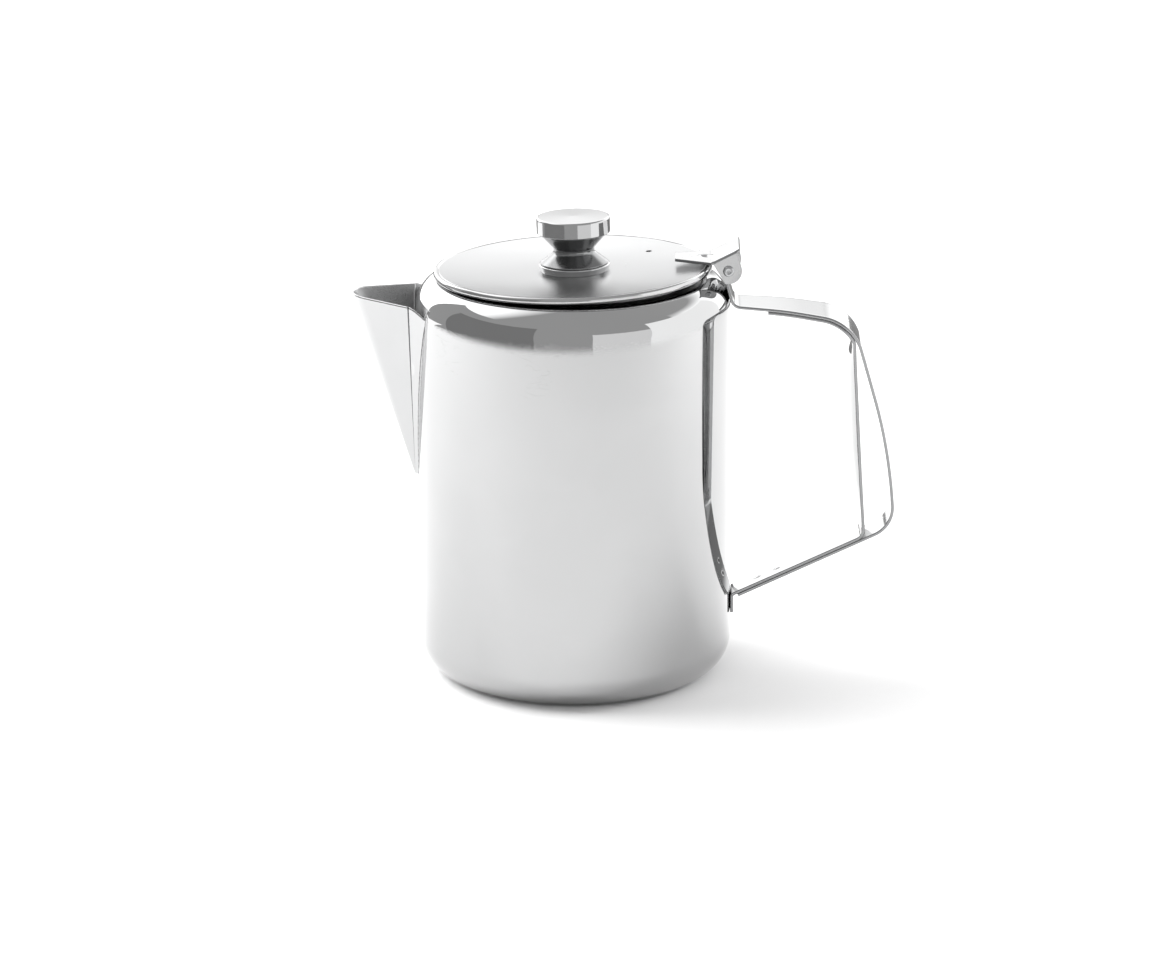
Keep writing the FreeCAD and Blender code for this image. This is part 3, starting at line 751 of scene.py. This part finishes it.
# ---------------------------------------------------------------- handle
def tangent_angle(point, radius, side):
    """Direction, from the pin, of the place where the line from a point touches a circle about the pin."""
    way = Vector(point) - Vector(PIN)
    return math.atan2(way.y, way.x) + side * math.acos(radius / way.length)


def about_pin(radius, angle):
    return Vector((PIN[0] + radius * math.cos(angle), PIN[1] + radius * math.sin(angle)))


def outer_strap_line():
    """Middle line of the outer strap: curl, root, top run, grip, lower bend and lower run."""
    start = math.radians(-75.0)
    end = tangent_angle(OUTER_CORNERS[0], CURL_RADIUS, -1.0) + 2.0 * math.pi
    curl = [about_pin(CURL_RADIUS, start + (end - start) * step / 40) for step in range(40)]
    corners = [tuple(about_pin(CURL_RADIUS, end))] + OUTER_CORNERS
    return resampled(curl + rounded(corners, OUTER_RADII, 30), STRAP_SPACING)


def beside_run(first, second, x, inward):
    """The point at x of the line through two corners of the outer strap, moved inwards square to it."""
    slope = (second[1] - first[1]) / (second[0] - first[0])
    return (x, first[1] + (x - first[0]) * slope + inward * math.hypot(1.0, slope))


def inner_strap_line():
    """Middle line of the inner strap. It lies against the outer one at both ends."""
    root, brow, corner, _, bend, foot = OUTER_CORNERS
    tab_x = BODY_RADIUS + STRAP / 2.0
    corners = [
        beside_run(root, brow, INNER_START_X, -STRAP),
        beside_run(brow, corner, brow[0], -STRAP),
        beside_run(brow, corner, INNER_CORNER_X, -STRAP),
        INNER_TURN,
        beside_run(bend, foot, INNER_BEND_X, STRAP),
        beside_run(bend, foot, tab_x, STRAP),
        (tab_x, TAB_BOTTOM),
    ]
    return resampled(rounded(corners, [148.8, 16.8, 3.0, 4.0, 1.5], 24), STRAP_SPACING)


def strap_half_width(centre):
    plan = between([(63.0, 9.3), (103.0, 12.4)], centre.x)
    front = between([(29.0, 6.3), (58.0, 7.7), (135.0, 12.4)], centre.y)
    return min(plan, front)


def weld_dimple(centre, y, depth):
    """Depth of the two spot-weld marks at a place on the lower run."""
    if centre.y > LOWER_RUN_TOP:
        return 0.0
    total = 0.0
    for x in SPOT_WELDS_X:
        share = math.hypot((centre.x - x) * 1.1, y) / SPOT_WELD_RADIUS
        if share < 1.0:
            total += depth * (1.0 - share * share) ** 0.5
        elif share < 1.5:
            total -= 0.18 * depth * math.sin(math.pi * (share - 1.0) / 0.5)
    return total


def outer_offset(centre, y, side):
    return -weld_dimple(centre, y, 0.22) if side > 0.0 else 0.0


def inner_offset(centre, y, side):
    """The bow of the inner grip towards the body, and the weld marks on the lower run."""
    across = y / strap_half_width(centre)
    on_grip = centre.x > 100.0
    bow = GRIP_BULGE * between(BULGE_STATIONS, centre.y) * (1.0 - across * across) if on_grip else 0.0
    mark = weld_dimple(centre, y, 0.32) if side < 0.0 else 0.0
    return mark - bow


def build_handle():
    for name, line, offset in (("outer", outer_strap_line(), outer_offset),
                               ("inner", inner_strap_line(), inner_offset)):
        points, faces, slots = strip(line, strap_half_width, STRAP, 28, shared_edge(0.32), offset)
        for index, face in enumerate(faces):
            middle = sum((Vector(points[corner]) for corner in face), Vector()) / len(face)
            from_weld = min(math.hypot(middle.x - x, middle.y) for x in SPOT_WELDS_X)
            if middle.z < LOWER_RUN_TOP and from_weld < BURN_RADIUS:
                slots[index] = 2
        materials = [polished_handle, cut_edge, weld_and_painted_crease_shade]
        strap = new_mesh(f"handle_{name}_formed", points, faces, materials, slots, 50.0)
        register(strap, "pot", [f"handle_{name}_strap"])


# ---------------------------------------------------------------- lid
def dish_radius():
    rise = HEM_Z + HEM_HEIGHT - LAND_Z
    run = LID_RADIUS - HEM_HEIGHT / 2.0 - LAND_RADIUS
    return (run * run + rise * rise) / (2.0 * rise)


def dish_height(radius, below=0.0):
    """Height of the dished cover at a radius, on its top or a sheet below it."""
    beyond = max(radius - LAND_RADIUS, 0.0)
    curve = dish_radius()
    return LAND_Z + curve - math.sqrt((curve + below) ** 2 - beyond * beyond)


def groove_depth(radius):
    """Depth of the fine groove between the cover and its hem."""
    share = (radius - GROOVE_RADIUS) / GROOVE_HALF_WIDTH
    return GROOVE_DEPTH * max(1.0 - share * share, 0.0)


def lid_outline():
    """Top of the lid from its middle out, round the hem and back along the under side."""
    rim = LID_RADIUS - HEM_HEIGHT / 2.0
    top = HEM_Z + HEM_HEIGHT
    bottom = HEM_Z - HEM_LIP
    middle_z = (top + bottom) / 2.0
    radii = [rim * step / 44 for step in range(44)]
    groove = [GROOVE_RADIUS + GROOVE_HALF_WIDTH * step / 4.0 for step in range(-5, 6)]
    over = sorted([radius for radius in radii if radius < groove[0] - 0.1] + groove)
    outline = [Vector((radius, dish_height(radius) - groove_depth(radius))) for radius in over]
    for step in range(25):
        angle = math.pi / 2.0 - math.pi * step / 24
        outline.append(Vector((rim + HEM_HEIGHT / 2.0 * math.cos(angle),
                               middle_z + (top - bottom) / 2.0 * math.sin(angle))))
    outline.append(Vector((LID_RADIUS - HEM_DEPTH, HEM_Z)))
    outline.append(Vector((LID_RADIUS - HEM_DEPTH, HEM_Z + LID_SHEET)))
    for step in range(5):
        angle = -math.pi / 2.0 + math.pi * step / 4
        outline.append(Vector((rim + 0.2 * math.cos(angle), middle_z + 0.2 * math.sin(angle))))
    for radius in radii[:0:-1]:
        outline.append(Vector((radius, dish_height(radius, LID_SHEET))))
    outline.append(Vector((0.0, LAND_Z - LID_SHEET)))
    return outline


def drill(radius, low, high, x, y):
    """A plain round cutter."""
    points, faces = turned([(0.0, low), (radius, low), (radius, high), (0.0, high)], 48, False)
    return new_mesh("drill", moved(points, Matrix.Translation((x, y, 0.0))), faces, [])


def knob_piece(name, outline, material, node_name):
    """A turned piece of the knob, on the knob's own axis and at the lid's tilt."""
    points, faces = turned(supported(outline, 1.5), 192, False)
    place = lid_place() @ Matrix.Translation((KNOB_X, 0.0, 0.0))
    thing = new_mesh(name, moved(points, place), faces, [material])
    register(thing, "lid", [node_name])


def build_lid():
    outline = lid_outline()
    points, faces = turned(outline, LID_SEGMENTS, False)
    slots = []
    for index in range(len(outline) - 1):
        radius = (outline[index].x + outline[index + 1].x) / 2.0
        slots += [1 if radius > LID_RADIUS - HEM_POLISHED_WIDTH else 0] * LID_SEGMENTS
    lid = new_mesh("lid_cover_formed", points, faces, [satin_lid, polished_hem], slots)
    cut_with(lid, drill(VENT_RADIUS, LAND_Z - 5.0, LAND_Z + 5.0, *VENT))
    lid.data.transform(Matrix.Scale(MM, 4) @ lid_place() @ Matrix.Scale(1.0 / MM, 4))
    lid.data.set_sharp_from_angle(angle=math.radians(35.0))
    register(lid, "lid", ["lid_cover"])

    inner = RING_RADIUS - RING_SHEET
    ring = [
        (inner, dish_height(inner, LID_SHEET)),
        (inner, RING_BOTTOM + 0.3),
        (inner + 0.12, RING_BOTTOM + 0.08),
        (inner + 0.4, RING_BOTTOM),
        (RING_RADIUS - 0.12, RING_BOTTOM + 0.08),
        (RING_RADIUS, RING_BOTTOM + 0.3),
        (RING_RADIUS, dish_height(RING_RADIUS, LID_SHEET)),
    ]
    points, faces = turned(ring, LID_SEGMENTS, True)
    thing = new_mesh("lid_ring_formed", moved(points, lid_place()), faces, [satin_inside])
    register(thing, "lid", ["lid_locating_ring"])


def build_knob():
    foot_top = LAND_Z + KNOB_FOOT_HEIGHT
    band = KNOB_TOP_Z - KNOB_CAP_HEIGHT
    inside = KNOB_CAP_RADIUS - 0.9
    foot = rounded([(0.0, LAND_Z), (13.1, LAND_Z), (13.7, foot_top), (0.0, foot_top)], [0.2, 0.45], 8)
    knob_piece("knob_foot_formed", foot, polished_knob, "knob_foot_ring")
    body = rounded([(0.0, foot_top), (KNOB_FLARE_RADIUS, foot_top), (KNOB_FLARE_RADIUS, foot_top + 0.5),
                    KNOB_WAIST, (inside - 0.6, band - 0.7), (inside, band + 0.2),
                    (inside, KNOB_TOP_Z - 0.9), (0.0, KNOB_TOP_Z - 0.9)],
                   [0.15, 0.3, KNOB_WAIST_BEND, 0.3, 0.2, 0.2], 16)
    knob_piece("knob_body_formed", body, satin_knob, "knob_body")
    cap = rounded([(0.0, KNOB_TOP_Z - 0.9), (inside, KNOB_TOP_Z - 0.9), (inside, band + 0.2),
                   (inside - 0.4, band - 0.2), (KNOB_CAP_RADIUS - 0.6, band - 0.5), (KNOB_CAP_RADIUS, band),
                   (KNOB_CAP_RADIUS, KNOB_TOP_Z - 0.1), (0.0, KNOB_TOP_Z)],
                  [0.0, 0.0, 0.1, 0.2, 0.4, 0.8], 10)
    knob_piece("knob_cap_formed", cap, polished_knob, "knob_cap")


# ---------------------------------------------------------------- hinge
def leaf_slope():
    return (LEAF_REAR[1] - LEAF_BEND[1]) / (LEAF_REAR[0] - LEAF_BEND[0])


def leaf_half_width(centre):
    return between([(LEAF_FRONT[0], LEAF_TONGUE_HALF_WIDTH), (LEAF_BEND[0], LEAF_HALF_WIDTH)], centre.x)


def leaf_edge(centre, side):
    """Rounding of the leaf's edges: on top the sheet bends down into the ears between two places."""
    over_ears = between([(52.9, 0.0), (53.5, 1.0), (61.7, 1.0), (62.3, 0.0)], centre.x)
    loose = 0.32
    return loose + over_ears * (1.12 - loose) if side > 0.0 else loose - over_ears * 0.27


def leaf_offset(centre, y, side):
    """The dimple of the weld in the leaf's top, and the boss under it."""
    share = math.hypot(centre.x - DIMPLE_X, y) / DIMPLE_RADIUS
    if share < 1.0:
        return -0.8 * (1.0 - share * share) ** 0.7
    if share < 1.35 and side > 0.0:
        return 0.06 * math.sin(math.pi * (share - 1.0) / 0.35)
    return 0.0


def leaf_line():
    under = rounded([LEAF_FRONT, LEAF_BEND, LEAF_REAR], [2.0], 16)
    even = resampled(under, 0.3)
    line = []
    for index, point in enumerate(even):
        along = (even[min(index + 1, len(even) - 1)] - even[max(index - 1, 0)]).normalized()
        line.append(point + Vector((-along.y, along.x)) * (LEAF_SHEET / 2.0))
    return line


def ear_outline():
    """Side view of an ear, from its front top round the pin to its rear top."""
    front = Vector((LEAF_BEND[0] + 0.8, LEAF_BEND[1] + 0.8 * leaf_slope()))
    rear = Vector((EAR_REAR_X, LEAF_BEND[1] + (EAR_REAR_X - LEAF_BEND[0]) * leaf_slope()))
    end = tangent_angle(tuple(rear), EAR_RADIUS, -1.0)
    sweep = end - EAR_FRONT_ANGLE
    arc = [about_pin(EAR_RADIUS, EAR_FRONT_ANGLE + sweep * step / 36) for step in range(37)]
    return [front] + arc + [rear]


def build_ear(side):
    outline = ear_outline()
    count = len(outline)
    outer_y = side * LEAF_HALF_WIDTH
    inner_y = side * (LEAF_HALF_WIDTH - EAR_SHEET)
    points = [(point.x, y, point.y) for y in (outer_y, inner_y) for point in outline]
    faces = [list(range(count)), list(range(count, 2 * count))]
    for step in range(count):
        following = (step + 1) % count
        faces.append([step, following, count + following, count + step])
    name = "near" if side < 0.0 else "far"
    ear = new_mesh(f"hinge_ear_{name}", points, faces, [polished_hinge], sharp=30.0)
    work = bmesh.new()
    work.from_mesh(ear.data)
    top_line = [vertex for vertex in work.verts
                if min((vertex.co - Vector((point.x, vertex.co.y / MM, point.y)) * MM).length
                       for point in (outline[0], outline[-1])) < 1e-6]
    edges = [edge for edge in work.edges
             if not (edge.verts[0] in top_line and edge.verts[1] in top_line)
             and abs(edge.verts[0].co.y - edge.verts[1].co.y) < 1e-7]
    bmesh.ops.bevel(work, geom=edges, offset=0.3 * MM, segments=4, affect="EDGES", clamp_overlap=True)
    work.to_mesh(ear.data)
    work.free()
    ear.data.shade_smooth()
    ear.data.set_sharp_from_angle(angle=math.radians(35.0))
    register(ear, "lid", ["hinge_leaf"])


def build_hinge():
    points, faces, slots = strip(leaf_line(), leaf_half_width, LEAF_SHEET, 56, leaf_edge, leaf_offset)
    leaf = new_mesh("hinge_leaf_formed", points, faces, [polished_hinge, cut_edge], slots, 50.0)
    register(leaf, "lid", ["hinge_leaf"])
    build_ear(-1.0)
    build_ear(1.0)

    half = LEAF_HALF_WIDTH
    head = [(0.0, PIN_HEAD_HEIGHT - 0.12), (0.7, PIN_HEAD_HEIGHT - 0.1), (1.1, PIN_HEAD_HEIGHT),
            (PIN_HEAD_RADIUS, PIN_HEAD_HEIGHT - 0.02), (PIN_HEAD_RADIUS, 0.0), (PIN_RADIUS, 0.0)]
    end = rounded(head, [0.3, 0.3, 0.7, 0.12], 8)
    outline = [(point.x, -half - point.y) for point in end]
    outline += [(point.x, half + point.y) for point in end[::-1]]
    points, faces = turned(outline, 64, False)
    place = Matrix.Translation((PIN[0], 0.0, PIN[1])) @ Matrix.Rotation(math.radians(-90.0), 4, "X")
    pin = new_mesh("hinge_pin_formed", moved(points, place), faces, [turned_steel], sharp=45.0)
    register(pin, "lid", ["hinge_pin"])


# ---------------------------------------------------------------- stage
def build_floor():
    """A pale table top with a round front edge."""
    size = 6.0
    corners = []
    for step in range(65):
        bearing = math.radians(TABLE_SIDE_BEARING * (1.0 - step / 32.0))
        corners.append((TABLE_RADIUS * math.sin(bearing), -TABLE_RADIUS * math.cos(bearing), 0.0))
    side = corners[-1][1]
    corners += [(-size, side, 0.0), (-size, size, 0.0), (size, size, 0.0), (size, side, 0.0)]
    mesh = bpy.data.meshes.new("floor")
    mesh.from_pydata(corners, [], [list(range(len(corners)))[::-1]])
    mesh.materials.append(floor_material())
    floor = bpy.data.objects.new("floor", mesh)
    bpy.context.scene.collection.objects.link(floor)


def build_world():
    """A studio by direction: grey in front and overhead, pale paper behind, and a soft box behind left.

    Low down and straight behind the pot the paper is dim. It is bright again to both sides of that.
    """
    world = bpy.data.worlds.new("studio")
    bpy.context.scene.world = world
    world.use_nodes = True
    tree = world.node_tree
    direction = node(tree, "TexCoord").outputs["Generated"]
    parts = node(tree, "SeparateXYZ", {"Vector": direction})
    height = parts.outputs["Z"]
    behind = remapped(tree, parts.outputs["Y"], *BACK_FADE, 0.0, 1.0)
    ramp = node(tree, "ValToRGB", {"Fac": height})
    stops = ramp.color_ramp.elements
    while len(stops) < len(SKY):
        stops.new(0.5)
    for stop, (place, share) in zip(stops, SKY):
        stop.position = place
        stop.color = (share, share, share, 1.0)
    low_down = remapped(tree, height, *LOW_FADE, 1.0, 0.0)
    off_centre = math_node(tree, "ABSOLUTE", parts.outputs["X"])
    sideways = remapped(tree, off_centre, *SIDE_FADE, 0.0, SIDE_LIFT)
    lift = math_node(tree, "MULTIPLY", low_down, sideways)
    share = math_node(tree, "MINIMUM", math_node(tree, "ADD", ramp.outputs["Color"], lift), 1.0)
    paper = math_node(tree, "MULTIPLY", share, PAPER_TONE)
    above_room = math_node(tree, "SUBTRACT", paper, ROOM_TONE)
    total = math_node(tree, "ADD", ROOM_TONE, math_node(tree, "MULTIPLY", above_room, behind))
    total = math_node(tree, "ADD", total, remapped(tree, height, -0.01, 0.0, GROUND_TONE, 0.0))
    for aim, inner, outer, strength in SOFT_BOXES:
        toward = node(tree, "VectorMath", {0: direction, 1: Vector(aim).normalized()},
                      operation="DOT_PRODUCT")
        glow = remapped(tree, toward.outputs["Value"], math.cos(math.radians(outer)),
                        math.cos(math.radians(inner)), 0.0, strength)
        total = math_node(tree, "ADD", total, glow)
    background = tree.nodes["Background"]
    tree.links.new(total, background.inputs["Color"])
    background.inputs["Strength"].default_value = 1.0


def card_material(name, tone):
    """The even glow of a card."""
    material = bpy.data.materials.new(name)
    material.use_nodes = True
    tree = material.node_tree
    tree.nodes.remove(tree.nodes["Principled BSDF"])
    glow = node(tree, "Emission", {"Strength": tone})
    tree.links.new(glow.outputs[0], tree.nodes["Material Output"].inputs["Surface"])
    return material


def stage_card(name, points, faces, tone):
    """A plain glowing card that only mirror reflections show."""
    mesh = bpy.data.meshes.new(name)
    mesh.from_pydata(points, [], faces)
    mesh.materials.append(card_material(name, tone))
    card = bpy.data.objects.new(name, mesh)
    card.visible_camera = False
    card.visible_diffuse = False
    card.visible_shadow = False
    bpy.context.scene.collection.objects.link(card)


def build_cards():
    """Broad plain cards in an arc before the table's edge, and a flat grey backdrop behind the pot."""
    for index, (start, end, low, high, tone) in enumerate(STUDIO_CARDS):
        radius = CARD_ARC_RADIUS - CARD_SPACING * index
        steps = math.ceil((end - start) / CARD_STEP)
        points = []
        for step in range(steps + 1):
            angle = math.radians(start + (end - start) * step / steps)
            for elevation in (low, high):
                height = CARD_EYE_HEIGHT + CARD_ARC_RADIUS * math.tan(math.radians(elevation))
                points.append((radius * math.sin(angle), -radius * math.cos(angle), height))
        faces = [[2 * step, 2 * step + 1, 2 * step + 3, 2 * step + 2] for step in range(steps)]
        stage_card(f"front_card_{index}", points, faces, tone)
    corners = [(-BACKDROP_HALF_WIDTH, BACKDROP_START), (BACKDROP_HALF_WIDTH, BACKDROP_START),
               (BACKDROP_HALF_WIDTH, BACKDROP_REACH), (-BACKDROP_HALF_WIDTH, BACKDROP_REACH)]
    stage_card("backdrop", [(x, y, BACKDROP_HEIGHT) for x, y in corners], [[0, 1, 2, 3]], BACKDROP_TONE)


def soft_light(name, place, size, power):
    """A square area light aimed at the pot. Reflections show the world's soft box instead."""
    data = bpy.data.lights.new(name, "AREA")
    data.size = size
    data.energy = power
    light = bpy.data.objects.new(name, data)
    light.location = place
    light.rotation_euler = (Vector(LIGHT_AIM) - Vector(place)).to_track_quat("-Z", "Y").to_euler()
    light.visible_glossy = False
    bpy.context.scene.collection.objects.link(light)


def build_camera():
    """The camera, from its direction round the pot, its height angle, its roll and its target."""
    right = Vector((math.cos(CAMERA_AZIMUTH), math.sin(CAMERA_AZIMUTH), 0.0))
    back = Vector((math.sin(CAMERA_AZIMUTH) * math.cos(CAMERA_ELEVATION),
                   -math.cos(CAMERA_AZIMUTH) * math.cos(CAMERA_ELEVATION),
                   math.sin(CAMERA_ELEVATION)))
    up = back.cross(right)
    turned_right = right * math.cos(CAMERA_ROLL) - up * math.sin(CAMERA_ROLL)
    turned_up = right * math.sin(CAMERA_ROLL) + up * math.cos(CAMERA_ROLL)
    target = right * TARGET_RIGHT + Vector((0.0, 0.0, TARGET_HEIGHT))
    data = bpy.data.cameras.new("camera")
    data.sensor_width = 36.0
    data.lens = CAMERA_LENS
    camera = bpy.data.objects.new("camera", data)
    basis = Matrix((turned_right, turned_up, back)).transposed().to_4x4()
    camera.matrix_world = Matrix.Translation(target + back * CAMERA_DISTANCE) @ basis
    bpy.context.scene.collection.objects.link(camera)
    bpy.context.scene.camera = camera


build_body()
build_spout()
build_handle()
build_lid()
build_knob()
build_hinge()
for name in ("knob_screw", "knob_washer"):
    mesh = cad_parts[name].data
    mesh.materials.clear()
    mesh.materials.append(turned_steel)
build_floor()
build_world()
build_cards()
soft_light("key", (-0.86, 0.30, 0.88), 1.0, 13.5)
soft_light("side", (0.78, 0.12, 0.42), 0.3, 2.0)
build_camera()
bpy.context.scene.view_settings.view_transform = "Standard"
